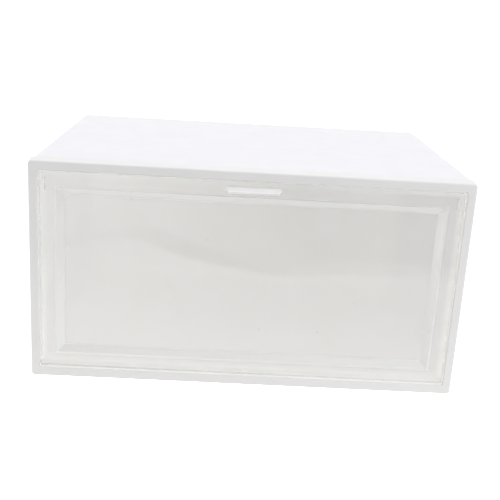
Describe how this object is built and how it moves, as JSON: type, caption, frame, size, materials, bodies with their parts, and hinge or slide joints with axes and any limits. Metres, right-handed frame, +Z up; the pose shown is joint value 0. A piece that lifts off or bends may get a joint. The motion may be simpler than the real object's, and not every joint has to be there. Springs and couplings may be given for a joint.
{
  "type": "shoe box",
  "caption": "Wide stackable shoe box with a clear drop-front door hinged along its bottom edge, a deep front frame and round vents at the back.",
  "frame": {"origin": "middle of the base of the whole box, lip and frame included", "axes": "+X across the width, +Y from the door to the back, +Z up"},
  "size_m": [0.3646, 0.267, 0.186],
  "materials": {
    "frame_white": "satin moulded white",
    "panel_white": "glossy moulded white",
    "door_clear": "clear, slightly hazy, glossy"
  },
  "bodies": {
    "shell": {"front_frame": "frame_white", "top_panel": "panel_white", "base_panel": "panel_white", "left_panel": "panel_white", "right_panel": "panel_white", "back_panel": "panel_white"},
    "door": {"door": "door_clear"}
  },
  "joints": [
    {"name": "door_hinge", "type": "hinge", "parent": "shell", "child": "door", "pos_m": [0, -0.1246, 0.0103], "axis": [1, 0, 0], "range_deg": [0, 90]}
  ]
}
